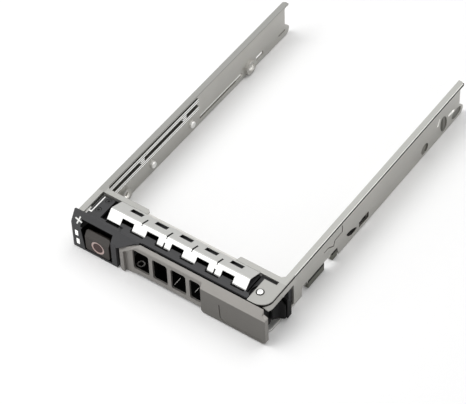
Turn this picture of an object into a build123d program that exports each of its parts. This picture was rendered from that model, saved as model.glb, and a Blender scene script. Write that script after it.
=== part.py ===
from build123d import *
import math
import os

# A hot swap carrier for a 2.5 inch drive, in millimetres.
# X runs across the carrier, the front handle faces -Y, and Z is up from the surface it lies on.

# Overall sizes
carrier_length = 129.0  # front face to the rails' rear lobes
carrier_height = 15.8  # floor to the top plane of rails and hinge plate
front_depth = 14.4  # front face to the crease behind the shield
front_overhang = 1.3  # how far the front stands out past the rails, each side

# The drive that the carrier holds
drive_width = 69.85
drive_hole_pitch = 76.6
drive_hole_height = 3.0
drive_gap = 0.1

# Sheet metal of the frame
sheet = 0.8
flange_width = 2.2
flange_overhang = 0.6  # the flange stands out past the web
seam_drop = 0.5  # top plane to the seam under the flange's edge
seam_height = 0.4
lip_height = 1.1
rail_stop = 1.3  # the flanges end this far before the lobes
front_screw_back = 11.75  # crease to the front pair of screws
screw_hole_radius = 1.7
screw_recess_radius = 2.3
screw_cup_wall = 0.6
left_cup_depth = 1.25
right_cup_depth = 3.9

# Hinge corner
hinge_pin_inset = 5.54  # pin axis to the carrier's right side
hinge_pin_back = 7.42  # pin axis behind the front face
plate_width = 7.5
plate_front = 2.44  # front face to the hinge plate's front edge
plate_slot = 1.55
corner_radius = 4.7
strip_height = 4.15  # side strip hanging from the hinge plate's edge
claw_window_back = 5.3  # crease to the rear edge of the claw's window
pin_radius = 0.9
pin_head_radius = 1.15
pin_head_rise = 0.45
pin_head_sink = 0.25
running_gap = 0.05

# Bezel moulding
bezel_wall = 1.2
bezel_cheek_depth = 3.4  # the cheeks that close the rails' front ends
bezel_slope_drop = 4.7  # the sloped brow above the front face
bezel_slope_depth = 2.9
deck_drop = 1.2  # the deck under the shield
brow_depth = 3.0  # strip between handle and shield
deck_groove_depth = 0.8

# Shield of spring fingers
shield_sheet = 0.25
shield_width = 57.36
shield_left = 10.37  # from the carrier's left side
shield_rise = 1.9
shield_crest_back = 8.55  # crest behind the front face
shield_tip_back = 5.83
finger_pitch = 10.355
slot_start = 15.9
slot_width = 4.93
slot_count = 5
slit_width = 0.35

# Handle
handle_thickness = 1.9
handle_gap = 0.3  # to the bezel behind and beside it
handle_left = 18.3  # from the carrier's left side
handle_shoulder = 27.4  # top of the slanted corner, from the same side
shoulder_drop = 5.8
handle_bevel_drop = 3.9
handle_end_bevel = 1.2
handle_recess = 1.1
window_bottom = 2.8
window_height = 9.7
window_starts = (24.3, 32.55, 40.25, 47.95)
window_widths = (6.7, 6.15, 6.15, 4.45)

# Release button and latch
button_width = 10.2
button_left = 4.32
button_bottom = 1.0
button_height = 9.0
button_stroke = 1.8
ring_place = (9.6, 4.4)  # middle of the ring on the button, from the left side and the floor
ring_radius = 2.72
ring_width = 0.72
latch_ratio = 0.9  # latch travel for each millimetre of the button's
slide_gap = 0.12
wire = 0.35

# Light pipe
bar_thickness = 1.05
upper_bar = (12.6, 14.5)
lower_bar = (8.8, 10.9)
led_width = 1.23
led_height = 2.57
led_gap = 0.2  # dark gap round each light in the front

# Derived places: the carrier is as wide as its drive and the seats and rails beside it
carrier_width = drive_width + 2 * drive_gap + left_cup_depth + right_cup_depth + 2 * (sheet + flange_overhang)
side_x = carrier_width / 2
front_y = -carrier_length / 2
rear_y = carrier_length / 2
crease_y = front_y + front_depth
top_z = carrier_height
web_out = side_x - flange_overhang
web_in = web_out - sheet
flange_in = side_x - flange_width
rail_end = rear_y - rail_stop
pin_x = side_x - hinge_pin_inset
pin_y = front_y + hinge_pin_back
front_screw_y = crease_y + front_screw_back
rear_screw_y = front_screw_y + drive_hole_pitch
right_seat_x = web_in - right_cup_depth
strip_z = top_z - strip_height
claw_window_y = crease_y + claw_window_back
latch_stroke = button_stroke * latch_ratio


def from_left(distance):
    """X of a place measured from the carrier's left side."""
    return distance - side_x


# Light pipe's drops behind the front, its pegs and its reach along the rail
drop_depth = 1.2
drop_fronts = (front_y + 3.0, front_y + 3.0 + drop_depth + 0.2)  # of the upper and the lower bar
foot_front = front_y + 1.5
led_places = ((from_left(0.78), 7.1), (from_left(1.03), 2.95))
pipe_reach = 55.6
peg_places = (22.0, 47.0)
peg_radius = 0.6
peg_z = (lower_bar[1] + upper_bar[0]) / 2

# Release mechanism inside the bezel
partition_front = front_y + 3.9
partition_back = partition_front + 1.1
cap_front = front_y + 0.2
cap_back = partition_front - button_stroke - 0.1
cap_bend_z = 7.6
stem_z = 6.0
stem_height = 3.0
stem_left = from_left(6.4)
stem_right = from_left(12.6)
stop_width = 0.5
wedge_reach = 1.9  # how far the wedge stands behind the partition at rest
wedge_gap = 0.1
slider_front = partition_back + slide_gap
slider_back = slider_front + 3.6
slider_bottom = 2.6
slider_top = 11.0
slider_left = from_left(5.4)
slider_right = from_left(16.1)
window_right = from_left(15.0)
pocket_left = slider_left - latch_stroke - 0.1
pocket_right = slider_right + 0.1
nose_thickness = 1.5
nose_height = 4.2
nose_tip = from_left(20.05)
retainer_front = partition_back + 1.6
spring_bore = 1.0
spring_x = from_left(11.1)
spring_pitch = 1.1
bore_bottom = cap_back - 0.1
spring_front = bore_bottom + button_stroke + 0.05
latch_spring_z = 9.35
latch_bore_end = from_left(12.5)
deck_screws = ((from_left(5.1), crease_y - 6.6), (from_left(5.8), crease_y - 1.7))
deck_screw_radius = 0.6
deck_head_radius = 1.0
deck_head_height = 0.6
rib_places = (from_left(31.0), from_left(52.0))

# Catch rib of the handle
catch_thickness = 1.2
catch_back = slider_front + nose_thickness + 0.2 + 1.4

# Lever, hub and the pieces on the pin
hub_radius = 3.3
hub_bottom = 1.35
hub_top = 14.4
neck_radius = 1.7
claw_bottom = 2.6
claw_top = 10.4
tooth_bottom = sheet + 0.15
lever_end = side_x - 21.0
lever_screws = ((lever_end + 2.5, 6.5), (lever_end + 8.5, 6.5))
lever_screw_radius = 0.7
lever_screw_bite = 1.1
clip_bottom = sheet + 0.05
clip_thickness = 0.4
groove_radius = 0.6
washer_thickness = 0.4
torsion_wire = 0.5
torsion_pitch = 0.75
wire_sides = 8


def wedge_face(y):
    """X of the button's wedge face at rest, sloped so that the latch moves in its ratio."""
    return stem_left + latch_ratio * (y - partition_front - 0.4)


def finish(builder, label):
    """Names a finished piece and writes it."""
    builder.part.label = label
    export_step(builder.part, f"parts/{label}.step")


os.makedirs("parts", exist_ok=True)

# Frame: one folded pressing with two rails, a vented front wall and the hinge corner
seam_top = top_z - seam_drop
seam_bottom = seam_top - seam_height
lip_bottom = seam_bottom - lip_height + seam_height
tab_z = 4.2  # height of the rail's lower edge over the bent tabs
wall_right = side_x - 10.3
gusset_back = 2.1
left_gusset_end = from_left(21.0)
right_gusset_start = side_x - 20.2
plate_left = side_x - plate_width
plate_front_y = front_y + plate_front
slot_front_y = crease_y - plate_slot
slot_right = side_x - 2.7
guide_tab_y = (front_screw_y + 2.1, front_screw_y + 12.0)
small_tab_y = (front_screw_y + 16.9, front_screw_y + 19.9)
lower_run_y = small_tab_y[1]
bay_slot_y = crease_y + 45.4
vent_width = 3.2
vent_height = 8.4
vent_pitch = 4.7
vent_count = 9
vent_centre_x = from_left(38.9)

with BuildPart() as frame:
    # Right web with its rear lobe, claw window edge, screw notch and bent-tab gaps
    with BuildSketch(Plane.YZ.offset(web_in)) as right_web:
        with BuildLine():
            Polyline(
                (claw_window_y, top_z - sheet / 2),
                (claw_window_y, 0),
                (front_screw_y - screw_hole_radius, 0),
                (front_screw_y - screw_hole_radius, drive_hole_height),
            )
            ThreePointArc(
                (front_screw_y - screw_hole_radius, drive_hole_height),
                (front_screw_y, drive_hole_height + screw_hole_radius),
                (front_screw_y + screw_hole_radius, drive_hole_height),
            )
            Polyline(
                (front_screw_y + screw_hole_radius, drive_hole_height),
                (guide_tab_y[0], tab_z),
                (lower_run_y, tab_z),
                (lower_run_y + 0.8, 0),
                (rear_y - 2.07, 0),
            )
            lobe = RadiusArc((rear_y - 2.07, 0), (rear_y - 0.57, 3.8), -2.3)
            Polyline(
                lobe @ 1,
                (rail_end - 1.5, 5.6),
                (rail_end - 1.4, top_z - 2.4),
                (rail_end, top_z - 1.4),
                (rail_end, top_z - sheet / 2),
                (claw_window_y, top_z - sheet / 2),
            )
        make_face()
    extrude(amount=sheet)
    # Left web, plain at the front, with the same rear lobe
    with BuildSketch(Plane.YZ.offset(-web_out)) as left_web:
        with BuildLine():
            Polyline(
                (front_y + bezel_cheek_depth + 0.1, top_z - sheet / 2),
                (front_y + bezel_cheek_depth + 0.1, 0),
                (rear_y - 2.07, 0),
            )
            left_lobe = RadiusArc((rear_y - 2.07, 0), (rear_y - 0.57, 3.8), -2.3)
            Polyline(
                left_lobe @ 1,
                (rail_end - 1.5, 5.6),
                (rail_end - 1.4, top_z - 2.4),
                (rail_end, top_z - 1.4),
                (rail_end, top_z - sheet / 2),
                (front_y + bezel_cheek_depth + 0.1, top_z - sheet / 2),
            )
        make_face()
    extrude(amount=sheet)
    # Top plane: both flanges, the two gussets and the hinge plate
    with BuildSketch(Plane.XY.offset(top_z - sheet)) as top_sheet:
        with BuildLine():
            Polyline(
                (-side_x, front_y + bezel_cheek_depth + 0.1),
                (-side_x, rail_end - 0.8),
                (-side_x + 0.8, rail_end),
                (-flange_in, rail_end),
                (-flange_in, crease_y + gusset_back + 1.1),
                (-flange_in + 1.1, crease_y + gusset_back),
                (left_gusset_end - 0.7, crease_y + gusset_back),
                (left_gusset_end, crease_y + gusset_back - 0.7),
                (left_gusset_end, crease_y),
                (-flange_in, crease_y),
                (-flange_in, front_y + bezel_cheek_depth + 0.1),
                close=True,
            )
        make_face()
        with BuildLine():
            Polyline(
                (right_gusset_start, crease_y),
                (right_gusset_start + 0.7, crease_y + gusset_back),
                (flange_in - 1.1, crease_y + gusset_back),
                (flange_in, crease_y + gusset_back + 1.1),
                (flange_in, rail_end),
                (side_x - 0.8, rail_end),
                (side_x, rail_end - 0.8),
                (side_x, plate_front_y),
                (plate_left, plate_front_y),
                (plate_left, slot_front_y),
                (slot_right, slot_front_y),
                (slot_right, crease_y),
                close=True,
            )
        make_face()
        front_corner = top_sheet.vertices().sort_by(Axis.Y).group_by(Axis.Y)[0].sort_by(Axis.X)[-1]
        fillet(front_corner, corner_radius)
    extrude(amount=sheet)
    # Front wall, joined to the webs, with its vents
    with BuildSketch(Plane.XZ.offset(-crease_y - sheet)) as front_wall:
        with BuildLine():
            Polyline(
                (-web_out, 0),
                (wall_right, 0),
                (wall_right, top_z - sheet / 2),
                (-web_out, top_z - sheet / 2),
                close=True,
            )
        make_face()
        with Locations((vent_centre_x, top_z / 2)):
            with GridLocations(vent_pitch, vent_height, vent_count, 1):
                RectangleRounded(vent_width, vent_height, 0.6, mode=Mode.SUBTRACT)
    extrude(amount=sheet)
    # Bottom plate under the hinge, running back to the right web
    with BuildSketch(Plane.XY) as bottom_sheet:
        with BuildLine():
            Polyline(
                (right_gusset_start, crease_y),
                (right_gusset_start, crease_y + gusset_back),
                (flange_in - 2.0, crease_y + gusset_back),
                (flange_in - 1.0, front_screw_y - screw_recess_radius - 0.6),
                (web_out, front_screw_y - screw_recess_radius - 0.6),
                (web_out, plate_front_y),
                (plate_left, plate_front_y),
                (plate_left, crease_y),
                close=True,
            )
        make_face()
        fillet(
            bottom_sheet.vertices().sort_by(Axis.Y).group_by(Axis.Y)[0].sort_by(Axis.X)[-1],
            corner_radius,
        )
    extrude(amount=sheet)
    # Side strip that wraps the hinge plate's corner, with a joggle to the web
    with BuildSketch(Plane.XY.offset(strip_z)) as strip:
        with BuildLine():
            Polyline(
                (plate_left, claw_window_y + 0.8),
                (plate_left, plate_front_y),
                (side_x, plate_front_y),
                (side_x, claw_window_y + 0.8),
                close=True,
            )
        make_face()
        fillet(
            strip.vertices().sort_by(Axis.Y).group_by(Axis.Y)[0].sort_by(Axis.X)[-1],
            corner_radius,
        )
        offset(amount=-sheet, mode=Mode.SUBTRACT)
        with BuildLine():
            Polyline(
                (side_x - 2.2, plate_front_y - 1),
                (side_x + 1, plate_front_y - 1),
                (side_x + 1, claw_window_y - 0.05),
                (side_x - 2.2, claw_window_y - 0.05),
                close=True,
            )
        make_face(mode=Mode.INTERSECT)
        with BuildLine():
            Polyline(
                (web_in, claw_window_y - 0.1),
                (side_x, claw_window_y - 0.1),
                (side_x, claw_window_y + 0.8),
                (web_out, claw_window_y + 2.6),
                (web_in, claw_window_y + 2.6),
                close=True,
            )
        make_face()
    extrude(amount=top_z - sheet / 2 - strip_z)
    # The strip's front end tapers up to the plate
    with BuildSketch(Plane.XZ.offset(-plate_front_y + 0.1)) as strip_taper:
        with BuildLine():
            Polyline(
                (side_x - 2.6, strip_z - 0.1),
                (side_x - 2.6, top_z - sheet - 0.2),
                (side_x - 2.1, top_z - sheet - 0.2),
                (side_x - 0.4, strip_z - 0.1),
                close=True,
            )
        make_face()
    extrude(amount=-corner_radius / 2, mode=Mode.SUBTRACT)
    # Lips below the flanges' edges, which form the seam along each rail
    with BuildSketch(Plane.XY.offset(lip_bottom)) as lips:
        with Locations((side_x - flange_overhang / 2, (claw_window_y + rail_end) / 2)):
            Rectangle(flange_overhang, rail_end - claw_window_y)
        left_lip_start = front_y + bezel_cheek_depth + 0.1
        with Locations((-side_x + flange_overhang / 2, (left_lip_start + rail_end) / 2)):
            Rectangle(flange_overhang, rail_end - left_lip_start)
    extrude(amount=top_z - sheet / 2 - lip_bottom)
    seam_bridge = (rail_end - 6.9, rail_end - 2.7)
    with BuildSketch(Plane.XY.offset(seam_bottom)) as seams:
        for start, end in ((plate_front_y, seam_bridge[0]), (seam_bridge[1], rail_end)):
            for side in (-1, 1):
                with Locations((side * side_x, (start + end) / 2)):
                    Rectangle(2 * flange_overhang, end - start)
    extrude(amount=seam_height, mode=Mode.SUBTRACT)
    # Guide tabs bent inwards from the right web's lower edge
    for start, end in (guide_tab_y, small_tab_y):
        with BuildSketch(Plane.XZ.offset(-end)) as guide_tab:
            with BuildLine():
                Polyline(
                    (web_in, tab_z + sheet),
                    (web_out, tab_z),
                    (web_in - 0.6, 0.2),
                    (web_in - 1.4, 0.2),
                    close=True,
                )
            make_face()
        extrude(amount=end - start)
    # Offset tab with the right rail's front screw hole
    with BuildSketch(Plane.XZ.offset(-front_screw_y - screw_recess_radius - 0.6)) as screw_tab:
        with BuildLine():
            Polyline(
                (web_in + 0.2, drive_hole_height + 3.2 + sheet),
                (right_seat_x, drive_hole_height + 3.2 + sheet),
                (right_seat_x, 0.2),
                (right_seat_x + sheet, 0.2),
                (right_seat_x + sheet, drive_hole_height + 3.2),
                (web_in + 0.2, drive_hole_height + 3.2),
                close=True,
            )
        make_face()
    extrude(amount=2 * screw_recess_radius + 1.2)
    # Drawn cups that carry the other drive screws
    with BuildSketch(Plane.YZ.offset(right_seat_x)) as rear_cup:
        with Locations((rear_screw_y, drive_hole_height)):
            Circle(screw_recess_radius + screw_cup_wall)
    extrude(amount=web_in - right_seat_x + 0.1)
    with BuildSketch(Plane.YZ.offset(-web_in - 0.1)) as left_cups:
        with Locations((front_screw_y, drive_hole_height), (rear_screw_y, drive_hole_height)):
            Circle(screw_recess_radius + screw_cup_wall)
    extrude(amount=left_cup_depth + 0.1)
    with BuildSketch(Plane.YZ.offset(right_seat_x + sheet)) as rear_recess:
        with Locations((rear_screw_y, drive_hole_height)):
            Circle(screw_recess_radius)
    extrude(amount=web_out - right_seat_x, mode=Mode.SUBTRACT)
    with BuildSketch(Plane.YZ.offset(-web_out)) as left_recesses:
        with Locations((front_screw_y, drive_hole_height), (rear_screw_y, drive_hole_height)):
            Circle(screw_recess_radius)
    extrude(amount=left_cup_depth, mode=Mode.SUBTRACT)
    with BuildSketch(Plane.YZ.offset(-side_x)) as screw_holes:
        with Locations((front_screw_y, drive_hole_height), (rear_screw_y, drive_hole_height)):
            Circle(screw_hole_radius)
    extrude(amount=carrier_width, mode=Mode.SUBTRACT)
    # Dimples of the left web that steady the drive's side
    with BuildSketch(Plane.YZ.offset(-web_in - 0.1)) as dimples:
        with Locations((crease_y + 28.15, 4.0), (crease_y + 51.8, 4.0)):
            Circle(1.7)
    extrude(amount=left_cup_depth, taper=22)
    # Slots of the left web
    with BuildSketch(Plane.YZ.offset(-side_x)) as left_slots:
        with Locations((crease_y + 70.5, 2.8)):
            SlotOverall(27.0, 1.6)
        with Locations((crease_y + 95.2, 3.1)):
            Rectangle(4.8, 2.0)
        with Locations((crease_y + 109.8, 3.0)):
            SlotOverall(4.6, 0.9)
    extrude(amount=flange_width, mode=Mode.SUBTRACT)
    # Lanced openings of the right web: a lens, a ramped slot, an upright and a level slit
    lens_tips = ((crease_y + 37.4, 5.2), (crease_y + 44.2, 2.7))
    with BuildSketch(Plane.YZ.offset(web_in - 0.1)) as right_slots:
        with BuildLine():
            RadiusArc(lens_tips[0], lens_tips[1], 9.0)
            RadiusArc(lens_tips[1], lens_tips[0], 4.6)
        make_face()
        with Locations((bay_slot_y + 3.1, 2.7)):
            Rectangle(6.2, 3.0)
        with Locations((rear_screw_y + 9.1, 8.3)):
            SlotOverall(3.4, 0.9, rotation=65)
        with Locations((rear_screw_y + 17.9, 6.0)):
            SlotOverall(4.4, 1.1, rotation=-8)
    extrude(amount=sheet + 0.2, mode=Mode.SUBTRACT)
    # Ramp behind the slot, bent in from its rear edge
    with BuildSketch(Plane.XY.offset(1.3)) as ramp:
        with BuildLine():
            Polyline(
                (web_in, bay_slot_y + 5.6),
                (web_in, bay_slot_y + 6.6),
                (web_in - 1.9, bay_slot_y + 1.0),
                (web_in - 1.3, bay_slot_y + 0.6),
                close=True,
            )
        make_face()
    extrude(amount=2.8)
    # Shallow pressings beside the rear slits and the stamped line ahead of them
    with BuildSketch(Plane.YZ.offset(web_out - 0.35)) as pressings:
        with Locations((rear_screw_y + 12.6, 4.9)):
            Ellipse(2.2, 4.0, rotation=12)
        with Locations((rear_screw_y + 21.6, 3.0)):
            Ellipse(3.2, 2.0)
    extrude(amount=0.5, mode=Mode.SUBTRACT)
    with BuildSketch(Plane.YZ.offset(web_out - 0.3)) as stamped_line:
        with BuildLine():
            Polyline(
                (crease_y + 29.4, 6.9),
                (crease_y + 30.2, 9.0),
                (crease_y + 34.8, 9.2),
                (crease_y + 34.9, 12.2),
            )
            offset(amount=0.25, side=Side.BOTH)
        make_face()
        with BuildLine():
            Polyline(
                (crease_y + 23.8, 8.9),
                (crease_y + 26.4, 8.9),
                (crease_y + 28.9, 7.2),
            )
            offset(amount=0.22, side=Side.BOTH)
        make_face()
    extrude(amount=0.3, mode=Mode.SUBTRACT)
    # Bores of the hinge pin in both plates
    with BuildSketch(Plane.XY) as pin_holes:
        with Locations((pin_x, pin_y)):
            Circle(pin_radius + running_gap)
    extrude(amount=top_z, mode=Mode.SUBTRACT)
    with BuildSketch(Plane.XY.offset(top_z)) as head_seat:
        with Locations((pin_x, pin_y)):
            Circle(pin_head_radius + 0.35)
    extrude(amount=-pin_head_sink, mode=Mode.SUBTRACT)

    # Notch of the front wall that lets the light pipe through
    with BuildSketch(Plane.XZ.offset(-crease_y)) as pipe_notch:
        with Locations((-web_in + bar_thickness / 2 + 0.1, (lower_bar[0] + upper_bar[1]) / 2)):
            Rectangle(bar_thickness + 0.2, upper_bar[1] - lower_bar[0] + 0.4)
    extrude(amount=-sheet, mode=Mode.SUBTRACT)
    # Holes for the light pipe's pegs
    with BuildSketch(Plane.YZ.offset(-side_x)) as peg_holes:
        with Locations(*[(crease_y + y, peg_z) for y in peg_places]):
            Circle(peg_radius + slide_gap)
    extrude(amount=flange_width, mode=Mode.SUBTRACT)

finish(frame, "frame")

# Bezel: one moulding with the front block, the deck under the shield and the floor
block_right = from_left(17.86)
deck_z = top_z - deck_drop
bezel_back = crease_y - shield_sheet - 0.15
cheek_back = front_y + bezel_cheek_depth
block_left = -web_in + bar_thickness + 0.2
bezel_right = plate_left - 0.35
hub_clearance = hub_radius + 0.45
brow_top = top_z - 0.2
behind_handle = front_y + handle_thickness + handle_gap
brow_back = behind_handle + brow_depth
handle_x = from_left(handle_left)
shoulder_x = from_left(handle_shoulder)
shoulder_z = top_z - shoulder_drop
shoulder_slope = shoulder_drop / (handle_shoulder - handle_left)
shield_x = from_left(shield_left)
shield_right = shield_x + shield_width
notch_places = [from_left(slot_start + slot_width / 2 + k * finger_pitch) for k in range(slot_count)]
pipe_left = -web_in + 0.05
pipe_right = pipe_left + bar_thickness
strand_x = from_left(3.5)  # light strand beside the bar, in the deck
strand_width = 0.4
strand_y = (crease_y - 8.8, crease_y - 0.6)
strand_depth = 0.7

with BuildPart() as bezel:
    # Front block with its cheek, sloped brow and post
    with BuildSketch(Plane.YZ.offset(-side_x - front_overhang)) as cheek:
        with BuildLine():
            Polyline(
                (front_y, 0),
                (front_y, top_z - bezel_slope_drop),
                (front_y + bezel_slope_depth, top_z),
                (cheek_back, top_z),
                (cheek_back, 0),
                close=True,
            )
        make_face()
    extrude(amount=block_right + side_x + front_overhang)
    with BuildSketch(Plane.XY) as block:
        with Locations(((block_left + block_right) / 2, (cheek_back + bezel_back) / 2)):
            Rectangle(block_right - block_left, bezel_back - cheek_back + 0.2)
    extrude(amount=deck_z)
    # Floor and deck behind the handle, open between them for the air
    for bottom, top in ((0, bezel_wall), (deck_z - bezel_wall, deck_z)):
        with BuildSketch(Plane.XY.offset(bottom)) as shelf:
            with Locations(((block_right + bezel_right) / 2, (behind_handle + bezel_back) / 2)):
                Rectangle(bezel_right - block_right + 0.2, bezel_back - behind_handle)
        extrude(amount=top - bottom)
    with BuildSketch(Plane.XY.offset(deck_z - bezel_wall)) as brow:
        with Locations(((block_right + bezel_right) / 2, (behind_handle + brow_back) / 2)):
            Rectangle(bezel_right - block_right, brow_back - behind_handle)
    extrude(amount=brow_top - deck_z + bezel_wall)
    # Ribs that carry the deck
    with BuildSketch(Plane.XY) as ribs:
        with Locations(*[(x, (behind_handle + 4 + bezel_back) / 2) for x in rib_places]):
            Rectangle(bezel_wall, bezel_back - behind_handle - 4)
    extrude(amount=deck_z)
    # Corner piece over the handle's slanted shoulder, cut to the slope of the brow
    shoulder_start = block_right - 0.2
    shoulder_gap = handle_gap * math.hypot(1, shoulder_slope)
    with BuildSketch(Plane.XZ.offset(-front_y)) as shoulder:
        with BuildLine():
            Polyline(
                (shoulder_start, shoulder_z + shoulder_slope * (shoulder_start - handle_x) + shoulder_gap),
                (shoulder_start, brow_top),
                (shoulder_x - (shoulder_gap + top_z - brow_top) / shoulder_slope, brow_top),
                close=True,
            )
        make_face()
    extrude(amount=front_y - behind_handle - 0.1)
    with BuildSketch(Plane.YZ.offset(block_right - 0.3)) as shoulder_slope_cut:
        with BuildLine():
            Polyline(
                (front_y, top_z - bezel_slope_drop),
                (front_y + bezel_slope_depth, top_z),
                (front_y, top_z),
                close=True,
            )
        make_face()
    extrude(amount=shoulder_x - block_right, mode=Mode.SUBTRACT)
    # Groove along the brow, pockets under the fingertips and grooves beside the shield
    with BuildSketch(Plane.XY.offset(brow_top)) as brow_groove:
        with Locations(((shoulder_x + bezel_right) / 2, behind_handle + 0.7)):
            Rectangle(bezel_right - shoulder_x, 0.35)
    extrude(amount=-0.4, mode=Mode.SUBTRACT)
    finger_pocket_back = crease_y - 5.1
    with BuildSketch(Plane.XY.offset(deck_z)) as deck_grooves:
        with Locations(*[(x, (brow_back + finger_pocket_back) / 2) for x in notch_places]):
            Rectangle(slot_width + 2, finger_pocket_back - brow_back)
        with Locations((shield_x - 0.9, (brow_back + bezel_back) / 2)):
            Rectangle(2.2, bezel_back - brow_back - 0.8)
        with Locations((shield_right + 0.6, (brow_back + bezel_back) / 2)):
            Rectangle(0.5, bezel_back - brow_back - 0.8)
    extrude(amount=-deck_groove_depth, mode=Mode.SUBTRACT)
    # Tabs that reach back into the shield's notches
    with BuildSketch(Plane.XY.offset(deck_z - bezel_wall)) as finger_tabs:
        with Locations(*[(x, brow_back + 0.65) for x in notch_places]):
            Rectangle(slot_width - 0.8, 1.5)
    extrude(amount=brow_top - deck_z + bezel_wall)
    # Recess for the hinge hub
    with BuildSketch(Plane.XY) as hub_recess:
        with Locations((pin_x, pin_y)):
            Circle(hub_clearance)
    extrude(amount=top_z, mode=Mode.SUBTRACT)
    # Arm of the deck that runs on under the slot of the hinge plate
    with BuildSketch(Plane.XY.offset(deck_z - bezel_wall)) as slot_arm:
        with Locations((bezel_right - 0.1, bezel_back)):
            Rectangle(slot_right - bezel_right + 0.6, plate_slot + 0.5, align=(Align.MIN, Align.MAX))
    extrude(amount=bezel_wall)
    # Rounded outer corner of the cheek
    outer_edges = bezel.edges().filter_by(Axis.Z).group_by(Axis.X)[0]
    fillet(outer_edges, 0.6)
    # Pocket of the release button
    with BuildSketch(Plane.XZ.offset(-front_y)) as button_pocket:
        with BuildLine():
            Polyline(
                (from_left(4.0), 0.7),
                (from_left(2.9), 10.4),
                (from_left(5.6), 13.7),
                (from_left(15.7), 13.5),
                (from_left(15.7), 0.7),
                close=True,
            )
        make_face()
    extrude(amount=front_y - partition_front, mode=Mode.SUBTRACT)
    # Opening for the button's stem, and the channel that holds the latch slider
    with BuildSketch(Plane.XZ.offset(-partition_front)) as stem_opening:
        with Locations(((stem_left + stem_right) / 2, stem_z)):
            Rectangle(stem_right - stem_left + 0.4, stem_height + 0.4)
    extrude(amount=partition_front - slider_front, mode=Mode.SUBTRACT)
    with BuildSketch(Plane.XZ.offset(-slider_front + slide_gap)) as slider_channel:
        with BuildLine():
            Polyline(
                (pocket_left, slider_bottom - slide_gap),
                (pocket_right, slider_bottom - slide_gap),
                (pocket_right, slider_top + slide_gap),
                (pocket_left, slider_top + slide_gap),
                close=True,
            )
        make_face()
    extrude(amount=slider_front - slide_gap - bezel_back, mode=Mode.SUBTRACT)
    with BuildSketch(Plane.XZ.offset(-retainer_front)) as retainer_pocket:
        with BuildLine():
            Polyline(
                (pocket_left, slider_top),
                (pocket_right, slider_top),
                (pocket_right, deck_z - bezel_wall),
                (pocket_left, deck_z - bezel_wall),
                close=True,
            )
        make_face()
    extrude(amount=retainer_front - bezel_back, mode=Mode.SUBTRACT)
    with BuildSketch(Plane.YZ.offset(pocket_right - 0.1)) as nose_slot:
        with Locations((slider_front + nose_thickness / 2, stem_z)):
            Rectangle(nose_thickness + 2 * slide_gap, nose_height + 2 * slide_gap)
    extrude(amount=block_right - pocket_right + 0.2, mode=Mode.SUBTRACT)
    # Channels of the light pipe: down inside the web, then forward to the two windows
    pipe_floor = led_places[1][1] - led_height / 2 - led_gap
    with BuildSketch(Plane.XY.offset(pipe_floor)) as pipe_well:
        with Locations(((-web_in - 0.1 + block_left) / 2, (drop_fronts[0] - 0.2 + cheek_back + 0.2) / 2)):
            Rectangle(block_left + web_in + 0.1, cheek_back - drop_fronts[0] + 0.4)
    extrude(amount=upper_bar[1] + 0.3 - pipe_floor, mode=Mode.SUBTRACT)
    foot_left = led_places[0][0] - led_width / 2 - led_gap
    with BuildSketch(Plane.XY.offset(pipe_floor)) as foot_well:
        with Locations(((foot_left + block_left) / 2, (foot_front - 0.2 + drop_fronts[0]) / 2)):
            Rectangle(block_left - foot_left, drop_fronts[0] - foot_front + 0.2)
    extrude(amount=led_places[0][1] + led_height / 2 + led_gap - pipe_floor, mode=Mode.SUBTRACT)
    with BuildSketch(Plane.XZ.offset(-front_y)) as led_windows:
        with Locations(*led_places):
            Rectangle(led_width + 2 * led_gap, led_height + 2 * led_gap)
    extrude(amount=front_y - foot_front, mode=Mode.SUBTRACT)
    # Groove of the light strand in the deck, with its way in from the bar
    with BuildSketch(Plane.XY.offset(deck_z)) as strand_groove:
        with Locations((strand_x, (strand_y[0] + strand_y[1]) / 2)):
            Rectangle(strand_width + 0.2, strand_y[1] - strand_y[0] + 0.2)
        with Locations(((block_left - 0.1 + strand_x) / 2, strand_y[0] + 0.3)):
            Rectangle(strand_x - block_left + 0.2, 0.8)
    extrude(amount=-strand_depth - 0.1, mode=Mode.SUBTRACT)
    # Screw holes through the deck
    with BuildSketch(Plane.XY.offset(deck_z - bezel_wall)) as deck_holes:
        with Locations(*deck_screws):
            Circle(deck_screw_radius + 0.15)
    extrude(amount=bezel_wall, mode=Mode.SUBTRACT)
    with BuildSketch(Plane.XY.offset(deck_z)) as deck_counterbores:
        with Locations(*deck_screws):
            Circle(deck_head_radius + 0.15)
    extrude(amount=-deck_head_height, mode=Mode.SUBTRACT)

finish(bezel, "bezel")

# Shield of spring fingers that grounds the carrier to the bay above it
crest = (front_y + shield_crest_back, top_z + shield_rise)
tip = (front_y + shield_tip_back, top_z - 0.9)

with BuildPart() as emi_shield:
    with BuildSketch(Plane.YZ.offset(shield_x)) as shield_profile:
        with BuildLine():
            Polyline(
                (crease_y - 0.05 - shield_sheet / 2, top_z - 4.0),
                (crease_y - 0.05 - shield_sheet / 2, top_z - 0.1),
                (crest[0] + 0.5, crest[1]),
                crest,
                tip,
            )
            offset(amount=shield_sheet / 2, side=Side.BOTH)
        make_face()
    extrude(amount=shield_width)
    # Square slots behind the crest, notches at the tips and thin slits between fingers
    with BuildSketch(Plane.XY.offset(top_z + shield_rise + 1)) as shield_cuts:
        with Locations(*[(x, crease_y - 1.9) for x in notch_places]):
            Rectangle(slot_width, 1.9)
        with Locations(*[(x, crease_y - 8.3) for x in notch_places]):
            Rectangle(slot_width, 3.0)
        for k in range(slot_count - 1):
            with Locations((from_left(23.6 + k * finger_pitch), crease_y - 4.5)):
                Rectangle(slit_width, 3.8)
    extrude(amount=-shield_rise - 2.4, mode=Mode.SUBTRACT)

finish(emi_shield, "emi_shield")

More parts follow.
